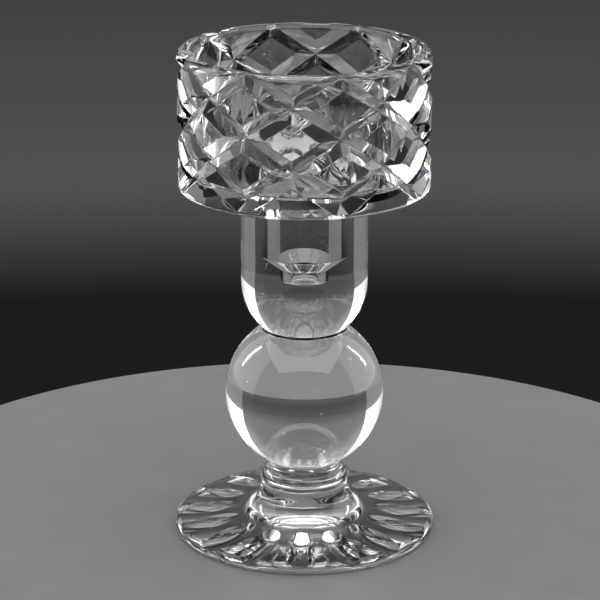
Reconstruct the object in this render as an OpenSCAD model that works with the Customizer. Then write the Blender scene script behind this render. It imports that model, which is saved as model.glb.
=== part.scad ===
// Cut-crystal candlestick: a wide pillar cup over a solid stem that is drilled for a taper candle,
// a ball knop, a small collar and a fluted foot. Five clear glass sections, bonded end to end on
// one axis. Millimetres, +Z up, origin at the middle of the underside of the foot.

/* [Cup] */
// Outside diameter of the cup
cup_d = 101.6; // [90:0.1:120]
// Diameter of the pillar-candle well
well_d = 88.4; // [76:0.1:100]
// Height of the cup, underside to rim
cup_h = 56.6; // [40:0.1:80]
// Thickness of the cup floor
cup_floor = 6.6; // [4:0.1:12]
// Rounding of the lip, outer side
lip_r = 2.8; // [0.5:0.1:3.2]
// Rounding of the lower outer corner
heel_r = 1.8; // [0.5:0.1:4]

/* [Diamond cutting] */
// Diamonds round the cup
diamonds = 8; // [6:1:12]
// Depth of the mitre cuts
mitre_depth = 3.2; // [1:0.1:3.5]
// Height of one row of crossings above the next
row_h = 12.62; // [8:0.01:16]
// Height of the lowest crossings above the cup underside
first_row = 5.7; // [3:0.1:10]
// Turn of the whole pattern round the axis, degrees
pattern_turn = -73.3; // [-90:0.1:90]

/* [Stem] */
// Diameter of the socket stem
stem_d = 51.6; // [40:0.1:70]
// Height of the socket stem with its neck
stem_h = 59.4; // [40:0.1:90]
// Diameter of the neck under the stem
neck_d = 35.2; // [20:0.1:45]
// Length of the short plain neck
neck_h = 1; // [0.5:0.1:8]
// Radius of the round lower end of the stem
round_r = 25.8; // [10:0.1:40]
// Diameter of the taper-candle socket
socket_d = 22.5; // [20:0.1:26]
// Level of the bottom of the straight socket above the stem underside
socket_z = 31.5; // [15:0.1:50]
// Diameter of the pilot recess under the socket
pilot_d = 12.4; // [6:0.1:18]
// Level of the bottom of the pilot recess above the stem underside
pilot_z = 21.5; // [8:0.1:45]

/* [Ball knop] */
// Diameter of the ball
ball_d = 65.2; // [50:0.1:80]
// Height of the ball between its two ground flats
ball_h = 56.4; // [40:0.1:64]
// Height of the ball centre above its lower flat
ball_c = 28.9; // [20:0.1:32]

/* [Collar] */
// Diameter of the sharp lower edge of the collar
collar_d = 38.2; // [30:0.1:50]
// Diameter of the top of the collar
collar_top_d = 29.4; // [20:0.1:36]
// Height of the collar
collar_h = 8; // [4:0.1:15]

/* [Foot] */
// Diameter of the foot
foot_d = 108; // [90:0.1:130]
// Height of the foot, underside to the ground seat of the collar
foot_h = 22; // [12:0.1:35]
// Thickness of the foot at its rounded edge
edge_h = 4.7; // [3:0.1:8]
// Diameter of the seat of the collar
seat_d = 35; // [25:0.1:45]
// Flutes round the foot
flutes = 16; // [8:1:24]
// Radius of the rounded edge of the fluting wheel
wheel_edge_r = 7.6; // [4:0.1:9]
// Radius of the fluting wheel
wheel_r = 41.7; // [38:0.1:60]
// Distance from the axis to the deepest point of a flute
flute_low_r = 48; // [44:0.1:50]
// Level of the deepest point of a flute
flute_low_z = 2.8; // [2.6:0.1:4]
// Depth of the polished hollow in the underside
hollow_depth = 2.6; // [0.5:0.1:4]
// Diameter of the polished hollow in the underside
hollow_d = 31; // [15:0.1:50]

/* [Bonds] */
// Thickness of the clear adhesive in each joint
bond_t = 0.2; // [0.1:0.05:0.5]

/* [Hidden] */
$fn = 96;
// turn of the first flute round the axis, degrees
flute_turn = -92.3;
collar_z = foot_h + bond_t;
ball_z = collar_z + collar_h + bond_t;
stem_z = ball_z + ball_h + bond_t;
cup_z = stem_z + stem_h + bond_t;
top_z = cup_z + cup_h;
glass = [0.86, 0.89, 0.91, 0.35];
clear_bond = [0.93, 0.93, 0.90, 0.35];

// points of an arc in the r,z half plane
function arc(c, r, a0, a1, n) =
    [for (i = [0 : n]) let (a = a0 + (a1 - a0) * i / n) [c[0] + r * cos(a), c[1] + r * sin(a)]];

// ---------------------------------------------------------------- foot
foot_r = foot_d / 2;
// low pressed disc, a rounded edge, a nearly flat shoulder and a concave rise to the collar seat
dome_in = [28.1, 7.7];
module foot_blank() {
    rise = foot_h - dome_in[1];
    rotate_extrude($fn = 96)
        polygon(concat(
            [[0, 0], [foot_r - 1.7, 0]],
            arc([foot_r - 1.7, 1.7], 1.7, -90, 0, 6),
            arc([foot_r - 3, edge_h - 3], 3, 10, 86, 10),
            [[dome_in[0] + 13, dome_in[1] - 1.55], [dome_in[0] + 3, dome_in[1] - 0.35]],
            [for (i = [0 : 12]) let (a = 90 * i / 12)
                [seat_d / 2 + (dome_in[0] - seat_d / 2) * (1 - sin(a)),
                 dome_in[1] + rise * (1 - cos(a))]],
            [[0, foot_h]]));
}
// the stretch of the wheel's rounded edge that touches the glass, turned about the wheel's spindle
module wheel_edge() {
    rotate([90, 0, 0]) rotate([0, 0, -123])
        rotate_extrude(angle = 63, $fn = 96)
            translate([wheel_r - wheel_edge_r, 0]) circle(r = wheel_edge_r);
}
module foot() {
    hollow_r = (hollow_d * hollow_d / 4 + hollow_depth * hollow_depth) / (2 * hollow_depth);
    color(glass) difference() {
        foot_blank();
        translate([0, 0, hollow_depth - hollow_r]) sphere(r = hollow_r);
        for (i = [0 : flutes - 1])
            rotate([0, 0, flute_turn + i * 360 / flutes])
                translate([flute_low_r, 0, flute_low_z + wheel_r]) wheel_edge();
    }
}
module foot_bond() {
    color(clear_bond) translate([0, 0, foot_h]) cylinder(d = seat_d - 0.2, h = bond_t);
}

// ---------------------------------------------------------------- collar
module collar() {
    w = (collar_d - collar_top_d) / 2;
    color(glass) translate([0, 0, collar_z])
        rotate_extrude($fn = 96)
            polygon(concat(
                [[0, 0], [collar_d / 2 - 0.5, 0], [collar_d / 2, 0.5]],
                [for (i = [0 : 8]) let (a = 90 * i / 8)
                    [collar_top_d / 2 + w * (1 - sin(a)) * 0.96,
                     0.9 + (collar_h - 1.4) * (1 - cos(a))]],
                [[collar_top_d / 2, collar_h], [0, collar_h]]));
}
module collar_bond() {
    color(clear_bond) translate([0, 0, ball_z - bond_t])
        cylinder(d = collar_top_d - 0.2, h = bond_t);
}

// ---------------------------------------------------------------- ball
module ball_knop() {
    color(glass) translate([0, 0, ball_z]) intersection() {
        translate([0, 0, ball_c]) sphere(d = ball_d);
        translate([-ball_d, -ball_d, 0]) cube([2 * ball_d, 2 * ball_d, ball_h]);
    }
}
module knop_bond() {
    color(clear_bond) translate([0, 0, stem_z - bond_t]) cylinder(d = neck_d - 0.2, h = bond_t);
}

// ---------------------------------------------------------------- stem
module socket_stem() {
    // the round end runs from the neck to the stem wall
    round_a = acos(1 - (stem_d - neck_d) / 2 / round_r);
    round_z = neck_h + round_r * sin(round_a);
    color(glass) translate([0, 0, stem_z]) difference() {
        rotate_extrude($fn = 96)
            polygon(concat(
                [[0, 0], [neck_d / 2, 0]],
                arc([stem_d / 2 - round_r, round_z], round_r, -round_a, 0, 14),
                [[stem_d / 2, stem_h], [0, stem_h]]));
        translate([0, 0, socket_z]) cylinder(d = socket_d, h = stem_h);
        translate([0, 0, socket_z - 4.5]) cylinder(d1 = pilot_d, d2 = socket_d, h = 4.5);
        translate([0, 0, pilot_z]) cylinder(d = pilot_d, h = 12);
    }
}
module cup_bond() {
    color(clear_bond) translate([0, 0, cup_z - bond_t]) difference() {
        cylinder(d = stem_d - 0.2, h = bond_t);
        translate([0, 0, -1]) cylinder(d = socket_d, h = bond_t + 2);
    }
}

// ---------------------------------------------------------------- cup
// The outside is worked as rings of points. Seven columns lie between neighbouring crossings,
// and the mitre cuts are three columns wide to each side of their valley.
seg = 7;
cols = diamonds * 2 * seg;
cup_r = cup_d / 2;
col_s = PI * cup_d / cols;
slope = atan2(row_h, seg * col_s);
mitre_w = 3 * col_s * sin(slope);
// distance in the unrolled wall from a point to the nearest valley line
function to_line(u, v) = abs(v * cos(slope) - u * sin(slope));
function fold(u) = let (p = 2 * seg * col_s, q = u - p * floor(u / p)) q > p / 2 ? p - q : q;
function valley(u, z) = let (a = fold(u), v = z - cup_z - first_row,
        w = v - 2 * row_h * floor(v / (2 * row_h)), q = w > row_h ? 2 * row_h - w : w)
    to_line(a, v < 0 ? v : q);
function cut(u, z) = max(0, mitre_depth * (1 - valley(u, z) / mitre_w));
function turned(z) = let (h = z - cup_z) h < heel_r
    ? cup_r - heel_r + sqrt(max(0, heel_r * heel_r - pow(heel_r - h, 2)))
    : h > cup_h - lip_r
        ? cup_r - lip_r + sqrt(max(0, lip_r * lip_r - pow(h - cup_h + lip_r, 2))) : cup_r;
levels = concat(
    [cup_z, cup_z + 0.3, cup_z + 0.9],
    [for (j = [-2 : 4 * seg - 2]) cup_z + first_row + j * row_h / seg],
    [top_z - 1.9, top_z - 1.1, top_z - 0.5, top_z - 0.15, top_z]);
nl = len(levels);
function column_dir(i, j) =
    let (u = (i + 0.5) * col_s, z = (levels[j] + levels[j + 1]) / 2,
         a = u - 2 * seg * col_s * floor(u / (2 * seg * col_s)),
         v = z - cup_z - first_row, w = v - 2 * row_h * floor(v / (2 * row_h)))
    (a < seg * col_s) != (w > row_h);
module cut_blank() {
    pts = [for (j = [0 : nl - 1]) for (i = [0 : cols - 1])
        let (a = 360 * i / cols + pattern_turn, z = levels[j],
             r = min(turned(z), cup_r - cut(i * col_s, z))) [r * cos(a), r * sin(a), z]];
    sides = [for (j = [0 : nl - 2]) for (i = [0 : cols - 1])
        let (a = j * cols + i, b = j * cols + (i + 1) % cols, c = b + cols, d = a + cols)
        each column_dir(i, j) ? [[a, c, b], [a, d, c]] : [[a, d, b], [b, d, c]]];
    polyhedron(points = pts, convexity = 6, faces = concat(sides,
        [[for (i = [0 : cols - 1]) i]],
        [[for (i = [cols - 1 : -1 : 0]) (nl - 1) * cols + i]]));
}
module cut_cup() {
    color(glass) difference() {
        cut_blank();
        translate([0, 0, cup_z + cup_floor]) cylinder(d = well_d, h = cup_h);
        translate([0, 0, cup_z - 1]) cylinder(d = socket_d, h = cup_floor + 2);
    }
}

// ---------------------------------------------------------------- assembly
foot();
foot_bond();
collar();
collar_bond();
ball_knop();
knop_bond();
socket_stem();
cup_bond();
cut_cup();
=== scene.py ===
import math

import bmesh
import bpy
from mathutils import Matrix, Vector


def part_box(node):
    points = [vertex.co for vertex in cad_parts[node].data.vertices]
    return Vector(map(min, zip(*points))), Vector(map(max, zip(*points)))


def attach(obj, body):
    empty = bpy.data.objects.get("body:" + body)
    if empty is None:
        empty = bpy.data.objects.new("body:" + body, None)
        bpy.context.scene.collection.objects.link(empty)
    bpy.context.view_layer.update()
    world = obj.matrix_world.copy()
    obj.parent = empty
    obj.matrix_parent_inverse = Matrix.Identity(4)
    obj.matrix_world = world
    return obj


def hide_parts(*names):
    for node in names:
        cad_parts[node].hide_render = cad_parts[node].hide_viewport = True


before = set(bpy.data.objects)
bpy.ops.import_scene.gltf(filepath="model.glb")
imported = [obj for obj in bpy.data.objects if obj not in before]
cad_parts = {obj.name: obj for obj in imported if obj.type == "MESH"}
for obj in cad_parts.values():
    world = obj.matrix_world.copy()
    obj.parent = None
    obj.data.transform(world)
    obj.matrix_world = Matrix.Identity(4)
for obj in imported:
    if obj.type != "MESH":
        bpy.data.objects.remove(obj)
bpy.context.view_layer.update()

# ---------------------------------------------------------------- camera
# A long lens a metre away, a little above the rim and tipped down at the candlestick.
# The lens is long so that the cup and the foot keep nearly the same scale.
scene = bpy.context.scene
camera = bpy.data.objects.new("camera", bpy.data.cameras.new("camera"))
scene.collection.objects.link(camera)
camera.data.sensor_width = 36
camera.data.lens = 153.4
camera.data.clip_start = 0.05
camera.location = (-0.0018, -0.9905, 0.426)
camera.rotation_euler = (math.radians(90 - 18.307), 0, 0)
scene.camera = camera

# ---------------------------------------------------------------- studio
# A round pale table top, a backdrop that fades from grey to dark, and soft lights at both sides
# and above. Most of the lights shine on the glass alone, so that the table stays even.


class Shade:
    """One output in a set of nodes. Sums on it add Math nodes."""

    def __init__(self, tree, socket=None):
        self.tree, self.socket = tree, socket

    def feed(self, entry, value):
        if isinstance(value, Shade):
            self.tree.links.new(value.socket, entry)
        else:
            entry.default_value = value

    def node(self, kind, settings, values, out=0):
        made = self.tree.nodes.new("ShaderNode" + kind)
        for key, value in settings.items():
            if key == "ramp":
                stops = made.color_ramp.elements
                for place, colour in value[1:-1]:
                    stops.new(place).color = colour
                for stop, (place, colour) in ((stops[0], value[0]), (stops[-1], value[-1])):
                    stop.position, stop.color = place, colour
            else:
                setattr(made, key, value)
        for key, value in values.items():
            self.feed(made.inputs[key], value)
        return Shade(self.tree, made.outputs[out] if made.outputs else None)

    def maths(self, operation, first, second):
        return self.node("Math", {"operation": operation}, {0: first, 1: second})

    def __add__(self, other):
        return self.maths("ADD", self, other)

    def __mul__(self, other):
        return self.maths("MULTIPLY", self, other)

    __radd__, __rmul__ = __add__, __mul__


def grey(level):
    return (level, level, level, 1)


def new_material(name):
    material = bpy.data.materials.new(name)
    material.use_nodes = True
    material.node_tree.nodes.clear()
    return material, Shade(material.node_tree)


table_r = 0.20
table_drop = 0.0002
bm = bmesh.new()
bmesh.ops.create_circle(bm, cap_ends=True, radius=table_r, segments=180)
bmesh.ops.translate(bm, vec=(0, 0, -table_drop), verts=bm.verts)
floor = bpy.data.objects.new("table_top", bpy.data.meshes.new("table_top"))
bm.to_mesh(floor.data)
bm.free()
scene.collection.objects.link(floor)
lacquer, n = new_material("pale_table")
coords = n.node("TexCoord", {}, {}, "Object")
mottle = n.node("TexNoise", {}, {"Vector": coords, "Scale": 40.0, "Detail": 5.0})
paint = n.node("ValToRGB", {"ramp": ((0.3, grey(0.50)), (0.7, grey(0.54)))}, {"Fac": mottle})
n.node("OutputMaterial", {}, {"Surface": n.node("BsdfPrincipled", {}, {
    "Base Color": paint, "Roughness": 0.35 + 0.1 * mottle})})
floor.data.materials.append(lacquer)

world = bpy.data.worlds.new("studio")
scene.world = world
world.use_nodes = True
world.node_tree.nodes.clear()
n = Shade(world.node_tree)
direction = n.node("TexCoord", {}, {}, "Generated")
height = n.node("SeparateXYZ", {}, {"Vector": direction}, 2)
ahead = n.node("SeparateXYZ", {}, {"Vector": direction}, 1)
backdrop = n.node("ValToRGB", {"ramp": (
    (0.0, grey(0.012)), (0.345, grey(0.012)), (0.365, grey(0.085)), (0.40, grey(0.052)),
    (0.45, grey(0.08)), (0.50, grey(0.17)), (0.75, grey(0.20)), (1.0, grey(0.10)))},
    {"Fac": 0.5 + 0.5 * height})
tent = n.node("ValToRGB", {"ramp": (
    (0.0, grey(0.0)), (0.51, grey(0.0)), (0.62, grey(0.34)), (1.0, grey(0.34)))},
    {"Fac": 0.5 + 0.5 * height})
beside = n.node("ValToRGB", {"ramp": (
    (0.0, grey(1.0)), (0.80, grey(1.0)), (0.93, grey(0.0)), (1.0, grey(0.0)))},
    {"Fac": 0.5 + 0.5 * ahead})
glow = n.node("Mix", {"data_type": "RGBA", "blend_type": "MULTIPLY"}, {0: 1.0, 6: tent, 7: beside}, 2)
sky = n.node("Mix", {"data_type": "RGBA", "blend_type": "ADD"}, {0: 1.0, 6: backdrop, 7: glow}, 2)
n.node("OutputWorld", {}, {"Surface": n.node("Background", {}, {"Color": sky, "Strength": 1.0})})
lit_glass = bpy.data.collections.new("lit_glass")


def soft_light(name, place, aim, wide, tall, level, tint=(1, 1, 1), glass_only=False):
    lamp = bpy.data.lights.new(name, "AREA")
    lamp.shape, lamp.size, lamp.size_y = "RECTANGLE", wide, tall
    lamp.energy, lamp.color = level * math.pi * wide * tall, tint
    holder = bpy.data.objects.new(name, lamp)
    scene.collection.objects.link(holder)
    holder.matrix_world = Matrix.Translation(place) @ (
        Vector(aim) - Vector(place)).to_track_quat("-Z", "Y").to_matrix().to_4x4()
    holder.visible_camera = False
    if glass_only:
        holder.light_linking.receiver_collection = lit_glass


# The thin warm and cool strips stand in for the colour fringes that lead crystal gives.
for side, hand in (("left", -1), ("right", 1)):
    soft_light(side + "_strip", (0.463 * hand, 0.236, 0.32), (0, 0, 0.32), 0.033, 0.30, 20.0, glass_only=True)
    soft_light(side + "_warm_edge", (0.445 * hand, 0.268, 0.32), (0, 0, 0.32), 0.012, 0.34, 4.0,
               (1, 0.5, 0.16), True)
    soft_light(side + "_cool_edge", (0.479 * hand, 0.200, 0.32), (0, 0, 0.32), 0.012, 0.34, 4.0,
               (0.2, 0.45, 1), True)
    soft_light(side + "_wall", (0.618 * hand, 0.20, 0.42), (0, 0, 0.42), 0.80, 0.80, 1.2, glass_only=True)
    soft_light(side + "_skirt", (0.618 * hand, 0.20, -0.09), (0, 0, -0.09), 0.80, 0.22, 0.16, glass_only=True)
soft_light("back_panel", (0, 0.40, 0.52), (0, 0, 0.1), 0.16, 0.05, 1.0, (1, 0.8, 0.62), True)
soft_light("ceiling", (0, -0.15, 0.80), (0, -0.15, 0), 1.4, 1.1, 2.2, glass_only=True)
soft_light("table_light", (0, -0.35, 0.9), (0, -0.1, 0), 0.6, 0.4, 0.3)

# ---------------------------------------------------------------- foot
# The pressed crystal foot: a low disc with a rounded edge and a concave rise to the seat of the
# collar. Sixteen flutes are cut with a round-edged wheel, and a hollow is polished underneath.
mm = 0.001


def turned(outline, steps=256):
    """A solid turned about Z from an outline of (radius, height) in millimetres."""
    bm = bmesh.new()
    line = [bm.verts.new((r * mm, 0, z * mm)) for r, z in outline]
    edges = [bm.edges.new(pair) for pair in zip(line, line[1:])]
    bmesh.ops.spin(bm, geom=line + edges, cent=(0, 0, 0), axis=(0, 0, 1),
                   angle=2 * math.pi, steps=steps, use_merge=True)
    bmesh.ops.remove_doubles(bm, verts=bm.verts, dist=1e-7)
    bmesh.ops.dissolve_degenerate(bm, edges=bm.edges, dist=1e-8)
    bmesh.ops.recalc_face_normals(bm, faces=bm.faces)
    return bm


def arc(r, z, radius, start, end, steps):
    return [(r + radius * math.cos(math.radians(start + (end - start) * i / steps)),
             z + radius * math.sin(math.radians(start + (end - start) * i / steps)))
            for i in range(steps + 1)]


def crystal(name, swirl=60.0, wave=0.00001, haze=0.012):
    """Clear lead crystal: faint waves from the polishing, and a slight uneven haze."""
    material, n = new_material(name)
    coords = n.node("TexCoord", {}, {}, "Object")
    slow = n.node("TexNoise", {}, {"Vector": coords, "Scale": swirl, "Detail": 2.0})
    fine = n.node("TexNoise", {}, {"Vector": coords, "Scale": 900.0, "Detail": 4.0})
    tint = n.node("ValToRGB", {"ramp": ((0.2, (0.965, 0.98, 0.985, 1)), (0.8, (0.99, 0.995, 1, 1)))},
                  {"Fac": slow})
    bump = n.node("Bump", {}, {"Height": slow, "Distance": wave, "Strength": 1.0})
    glass = n.node("BsdfPrincipled", {}, {
        "Base Color": tint, "Roughness": haze * fine, "Normal": bump,
        "IOR": 1.545, "Transmission Weight": 1.0})
    n.node("OutputMaterial", {}, {"Surface": glass})
    return material


bonded, n = new_material("bonded_face")
n.node("OutputMaterial", {}, {"Surface": n.node("BsdfTransparent", {}, {})})


def glaze(bm, level, inner, outer):
    """Marks the flat faces of one joint, so that light runs through it as through one glass."""
    for face in bm.faces:
        if all(abs(v.co.z - level * mm) < 1e-6 and inner - 0.02 < v.co.xy.length / mm < outer + 0.02
               for v in face.verts):
            face.material_index = 1


def finished(bm, name, material, crease=30.0):
    mesh = bpy.data.meshes.new(name + "_glass")
    bm.to_mesh(mesh)
    bm.free()
    mesh.materials.append(material)
    mesh.materials.append(bonded)
    mesh.shade_smooth()
    mesh.set_sharp_from_angle(angle=math.radians(crease))
    piece = bpy.data.objects.new(name + "_glass", mesh)
    scene.collection.objects.link(piece)
    lit_glass.objects.link(piece)
    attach(piece, "root")
    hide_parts(name)


def carve(bm, tool):
    """Takes the shape of the tool away from the blank."""
    block = bpy.data.objects.new("blank", bpy.data.meshes.new("blank"))
    bit = bpy.data.objects.new("tool", bpy.data.meshes.new("tool"))
    bm.to_mesh(block.data)
    tool.to_mesh(bit.data)
    tool.free()
    for thing in (block, bit):
        scene.collection.objects.link(thing)
    cut = block.modifiers.new("cut", "BOOLEAN")
    cut.operation, cut.solver, cut.object = "DIFFERENCE", "EXACT", bit
    solid = block.evaluated_get(bpy.context.evaluated_depsgraph_get()).to_mesh()
    bm.clear()
    bm.from_mesh(solid)
    for thing in (block, bit):
        bpy.data.objects.remove(thing)
    bmesh.ops.remove_doubles(bm, verts=bm.verts, dist=2e-7)
    bmesh.ops.dissolve_degenerate(bm, edges=bm.edges, dist=1e-7)


foot_r, foot_h, edge_h, seat_r = 54.0, 22.0, 4.7, 17.5
shoulder = (28.1, 7.7)
hollow_r, hollow_depth = 15.5, 2.6
hollow_ball = (hollow_r ** 2 + hollow_depth ** 2) / (2 * hollow_depth)
half_hollow = math.degrees(math.asin(hollow_r / hollow_ball))
rise = foot_h - shoulder[1]
foot_blank = turned(
    arc(0, hollow_depth - hollow_ball, hollow_ball, 90, 90 - half_hollow, 24)
    + arc(foot_r - 1.7, 1.7, 1.7, -90, 0, 10)
    + arc(foot_r - 3, edge_h - 3, 3, 10, 86, 14)
    + [(shoulder[0] + 13, shoulder[1] - 1.55), (shoulder[0] + 3, shoulder[1] - 0.35)]
    + [(seat_r + (shoulder[0] - seat_r) * (1 - math.sin(math.pi * i / 72)),
        shoulder[1] + rise * (1 - math.cos(math.pi * i / 72))) for i in range(37)]
    + [(17.4, foot_h), (0, foot_h)], 240)
wheel_r, wheel_edge, low_r, low_z = 41.7, 7.6, 48.0, 2.8
for turn in (0, 22.5):
    wheel = bmesh.new()
    for i in range(8):
        bit = bmesh.ops.create_circle(wheel, cap_ends=True, radius=wheel_edge * mm, segments=48)["verts"]
        bmesh.ops.translate(wheel, verts=bit, vec=((wheel_r - wheel_edge) * mm, 0, 0))
        bmesh.ops.rotate(wheel, verts=bit, matrix=Matrix.Rotation(math.radians(123), 3, "Y"))
        bmesh.ops.spin(wheel, geom=[bit[0].link_faces[0]], cent=(0, 0, 0), axis=(0, 1, 0),
                       angle=math.radians(-63), steps=32)
        bit = wheel.verts[len(wheel.verts) * i // (i + 1):]
        bmesh.ops.translate(wheel, verts=bit, vec=(low_r * mm, 0, (low_z + wheel_r) * mm))
        bmesh.ops.rotate(wheel, verts=bit,
                         matrix=Matrix.Rotation(math.radians(-92.3 + turn + 45 * i), 3, "Z"))
    bmesh.ops.bisect_plane(wheel, geom=wheel.verts[:] + wheel.edges[:] + wheel.faces[:],
                           plane_co=(0, 0, 9.5 * mm), plane_no=(0, 0, 1), clear_outer=True)
    bmesh.ops.holes_fill(wheel, edges=[e for e in wheel.edges if e.is_boundary])
    bmesh.ops.recalc_face_normals(wheel, faces=wheel.faces)
    carve(foot_blank, wheel)
glaze(foot_blank, foot_h, 0, 17.4)
finished(foot_blank, "foot", crystal("foot_crystal", 45.0, 0.00002, 0.02), 22)

# ---------------------------------------------------------------- clear joints
# Each section is bonded to the next with a thin film of clear adhesive, flush with the glass.
# Three films are discs, and the one under the cup is a ring round the taper socket.
cure, n = new_material("clear_joint")
coords = n.node("TexCoord", {}, {}, "Object")
specks = n.node("TexNoise", {}, {"Vector": coords, "Scale": 700.0, "Detail": 3.0})
tint = n.node("ValToRGB", {"ramp": ((0.3, (0.95, 0.95, 0.92, 1)), (0.7, (0.99, 0.99, 0.98, 1)))},
              {"Fac": specks})
n.node("OutputMaterial", {}, {"Surface": n.node("BsdfPrincipled", {}, {
    "Base Color": tint, "Roughness": 0.05 + 0.1 * specks, "IOR": 1.5, "Transmission Weight": 1.0})})


def joint(name, inner, outer):
    low, high = (corner[2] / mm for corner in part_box(name))
    waist = (low + high) / 2
    if inner:
        outline = [(inner, low), (outer, low), (outer - 0.03, waist), (outer, high),
                   (inner, high), (inner, low)]
    else:
        outline = [(0, low), (outer, low), (outer - 0.03, waist), (outer, high), (0, high)]
    film = turned(outline, 192)
    glaze(film, low, 0, outer)
    glaze(film, high, 0, outer)
    finished(film, name, cure)


joint("foot_bond", 0, 17.4)
joint("collar_bond", 0, 14.6)
joint("knop_bond", 0, 17.5)
joint("cup_bond", 11.25, 25.7)

# ---------------------------------------------------------------- collar
# The collar of solid crystal between the foot and the ball. It is turned with a crisp lower
# edge and a hollow flare up to the ball, and bonded on both flat faces.
collar_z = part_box("collar")[0][2] / mm
collar_h, collar_r, collar_top = 8.0, 19.1, 14.7
flare = (collar_r - collar_top) * 0.96
collar = turned(
    [(0, collar_z), (17.4, collar_z), (collar_r - 0.5, collar_z), (collar_r - 0.15, collar_z + 0.12),
     (collar_r, collar_z + 0.5), (collar_r - 0.06, collar_z + 0.75)]
    + [(collar_top + flare * (1 - math.sin(math.pi * i / 48)),
        collar_z + 0.9 + (collar_h - 1.4) * (1 - math.cos(math.pi * i / 48))) for i in range(25)]
    + [(collar_top, collar_z + collar_h), (14.6, collar_z + collar_h), (0, collar_z + collar_h)])
glaze(collar, collar_z, 0, 17.4)
glaze(collar, collar_z + collar_h, 0, 14.6)
finished(collar, "collar", crystal("collar_crystal", 90.0, 0.00001, 0.02))

# ---------------------------------------------------------------- ball
# The solid ball knop, ground flat at both ends where it is bonded. A few seeds, tiny bubbles
# from the melt, are caught in it.
ball_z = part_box("ball_knop")[0][2] / mm
ball_r, ball_h, ball_c = 32.6, 56.4, 28.9
low_angle = math.degrees(math.asin(-ball_c / ball_r))
high_angle = math.degrees(math.asin((ball_h - ball_c) / ball_r))
ball = turned(
    [(0, ball_z), (14.6, ball_z)] + arc(0, ball_z + ball_c, ball_r, low_angle, high_angle, 110)
    + [(17.5, ball_z + ball_h), (0, ball_z + ball_h)])
glaze(ball, ball_z, 0, 14.6)
glaze(ball, ball_z + ball_h, 0, 17.5)
for place, size in (((-7.5, -20, 50), 0.55), ((5.5, -14, 56), 0.22), ((9.5, -12, 39), 0.3),
                    ((5.6, -8, 37.5), 0.26), ((-15, 4, 60), 0.2)):
    seed = bmesh.ops.create_icosphere(ball, subdivisions=3, radius=size * mm)["verts"]
    bmesh.ops.scale(ball, verts=seed, vec=(1.4, 1, 0.8))
    bmesh.ops.translate(ball, verts=seed, vec=Vector(place) * mm)
    bmesh.ops.reverse_faces(ball, faces=list({f for v in seed for f in v.link_faces}))
finished(ball, "ball_knop", crystal("ball_crystal", 25.0, 0.00001, 0.01))

# ---------------------------------------------------------------- stem
# A solid stem with a rounded shoulder, drilled from above for a taper candle: a straight
# socket, the cone that the drill leaves, and a narrow pilot hole under it.
stem_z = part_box("socket_stem")[0][2] / mm
stem_h, stem_r, neck_r, neck_h = 59.4, 25.8, 17.6, 1.0
socket_r, pilot_r, socket_z, pilot_z = 11.25, 6.2, 31.5, 21.5
bend = math.degrees(math.acos(neck_r / stem_r))
bend_z = stem_z + neck_h + stem_r * math.sin(math.radians(bend))
stem = turned(
    [(0, stem_z), (17.5, stem_z), (neck_r, stem_z + 0.05)]
    + arc(0, bend_z, stem_r, -bend, 0, 60)
    + [(stem_r, stem_z + stem_h), (25.7, stem_z + stem_h), (socket_r, stem_z + stem_h)]
    + [(socket_r, stem_z + socket_z + 0.6)] + arc(socket_r - 0.8, stem_z + socket_z + 0.5, 0.8, -5, -40, 4)
    + arc(pilot_r + 0.6, stem_z + socket_z - 4.7, 0.6, 130, 180, 4)
    + arc(pilot_r - 1.6, stem_z + pilot_z + 1.6, 1.6, 0, -90, 10)
    + [(0, stem_z + pilot_z)])
glaze(stem, stem_z, 0, 17.5)
glaze(stem, stem_z + stem_h, socket_r, 25.7)
finished(stem, "socket_stem", crystal("stem_crystal", 30.0, 0.00001, 0.012))

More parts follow.
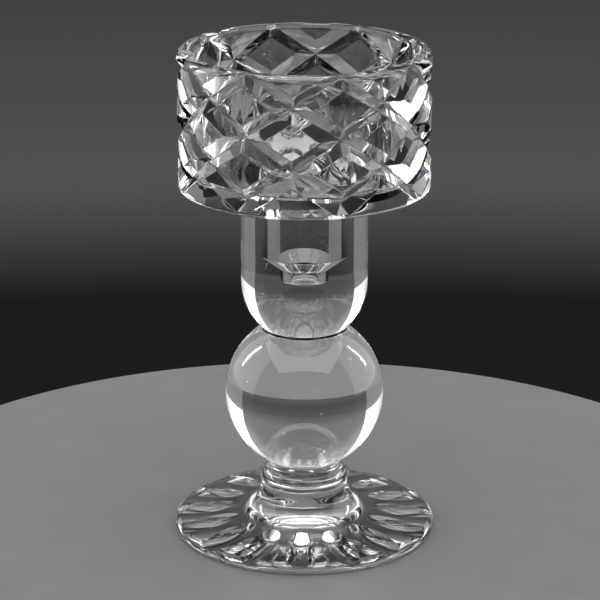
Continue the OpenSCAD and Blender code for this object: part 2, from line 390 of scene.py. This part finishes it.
# ---------------------------------------------------------------- cup
# The pillar cup: thick walls, a level floor with the mouth of the taper socket, a round lip,
# and mitre cuts that run up both ways round the wall and leave diamonds between them.
cup_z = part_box("cut_cup")[0][2] / mm
cup_h, cup_r, well_r, floor_h, lip, heel = 56.6, 50.8, 44.2, 6.6, 2.8, 1.8
top = cup_z + cup_h
cup = turned(
    [(socket_r, cup_z), (25.7, cup_z)] + arc(cup_r - heel, cup_z + heel, heel, -90, 0, 12)
    + arc(cup_r - lip, top - lip, lip, 0, 90, 16)
    + arc(well_r + 2.6, top - 2.6, 2.6, 90, 180, 12)
    + arc(well_r - 2.0, cup_z + floor_h + 2.0, 2.0, 0, -90, 10)
    + [(socket_r, cup_z + floor_h), (socket_r, cup_z)], 288)
row, first, reach = 12.62, 5.7, 1.6
lean = math.atan2(row, math.pi * cup_r / 8)
# half of the wheel's edge: distance from the middle of the cut, and depth below the wall
half_cut = ((0.3, 3.0), (4.22, 0.26), (4.62, 0.085), (5.1, 0.03), (6.6, -reach))
for hand, deep in ((1, 3.12), (-1, 3.13)):
    mitre = bmesh.new()
    along = Vector((0, math.cos(lean) * hand, math.sin(lean)))
    up = Vector((0, -math.sin(lean) * hand, math.cos(lean)))
    base = Vector((cup_r, 0, cup_z + first))
    for k in range(8):
        outline = [(0, deep)] + list(half_cut) + [(-w, d) for w, d in reversed(half_cut)]
        edge = [mitre.verts.new((base + up * w - Vector((d, 0, 0))) * mm) for w, d in outline]
        tip = mitre.verts.new((base + Vector((reach, 0, 0)) - along * 6.6) * mm)
        face = mitre.faces.new(edge)
        for a, b in zip(edge, edge[1:] + edge[:1]):
            mitre.faces.new((a, b, tip))
        bmesh.ops.spin(mitre, geom=[face], cent=(0, 0, 0), axis=(0, 0, 1),
                       dvec=(0, 0, row / 11.25 * mm), angle=math.radians(96 * hand), steps=48)
        bmesh.ops.delete(mitre, geom=[face], context="FACES_ONLY")
        bmesh.ops.rotate(mitre, verts=mitre.verts[len(mitre.verts) * k // (k + 1):],
                         matrix=Matrix.Rotation(math.radians(-73.3 + 45 * k), 3, "Z"))
    bmesh.ops.recalc_face_normals(mitre, faces=mitre.faces)
    carve(cup, mitre)
glaze(cup, cup_z, socket_r, 25.7)
finished(cup, "cut_cup", crystal("cup_crystal", 50.0, 0.00001, 0.012), 20)

# ---------------------------------------------------------------- finish
scene.cycles.max_bounces = 24
scene.cycles.transmission_bounces = 24
scene.cycles.transparent_max_bounces = 24
scene.cycles.caustics_refractive = False
scene.view_settings.view_transform = "Standard"
scene.view_settings.exposure = 0.0
